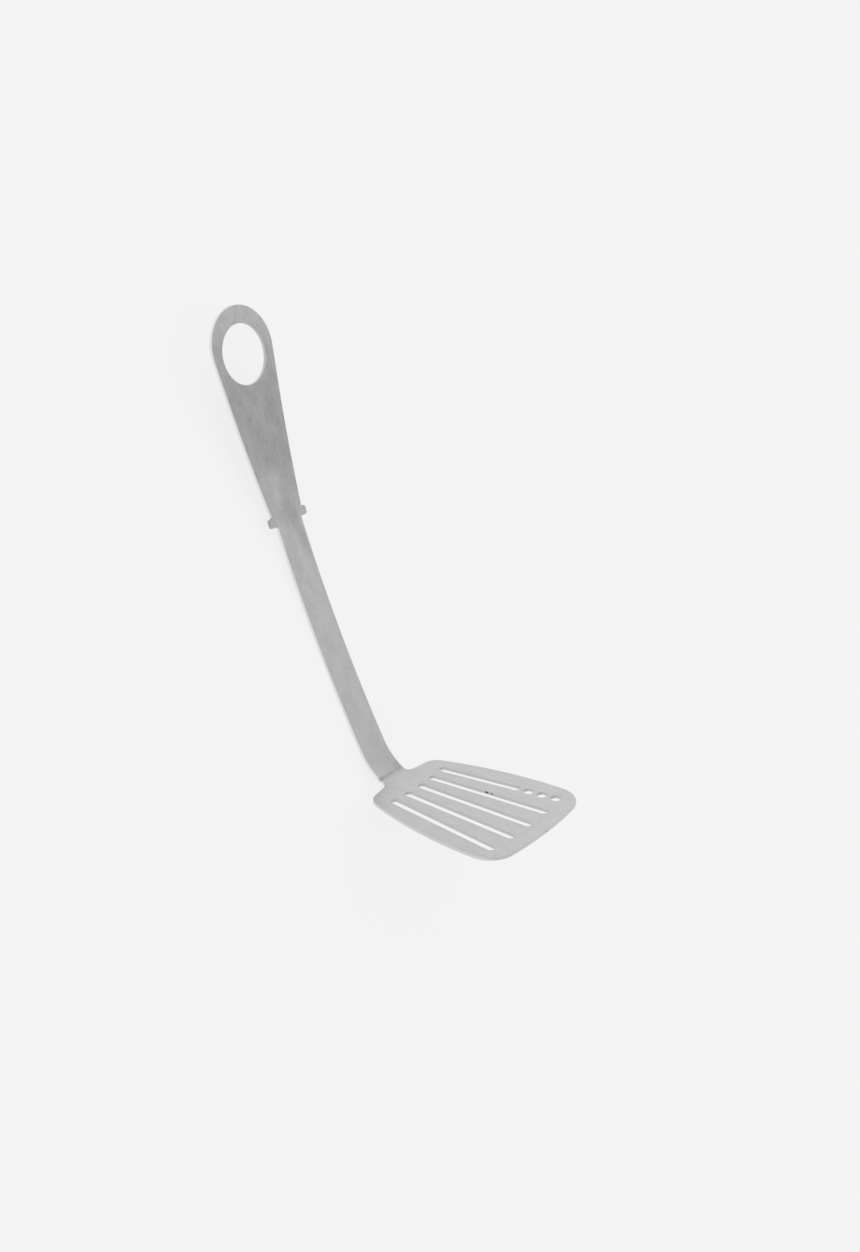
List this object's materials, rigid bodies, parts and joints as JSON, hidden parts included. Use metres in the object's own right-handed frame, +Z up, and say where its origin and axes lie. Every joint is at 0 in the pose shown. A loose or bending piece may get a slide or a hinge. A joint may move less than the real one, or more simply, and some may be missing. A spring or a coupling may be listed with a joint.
{
  "type": "wine bottle holder",
  "caption": "Bent sheet steel holder shaped like a slotted turner: its blade is the foot, and a hole in its ring head holds a wine bottle by the neck.",
  "frame": {"origin": "under the middle of the holder's bounding box, on the surface it lies on", "axes": "+X along the holder from the ring head towards the blade, +Y across it, +Z up as it lies on the back of its bow"},
  "size_m": [0.3128, 0.0854, 0.0984],
  "materials": {
    "satin_steel": "satin"
  },
  "bodies": {
    "root": {"bottle_holder": "satin_steel"}
  },
  "joints": []
}
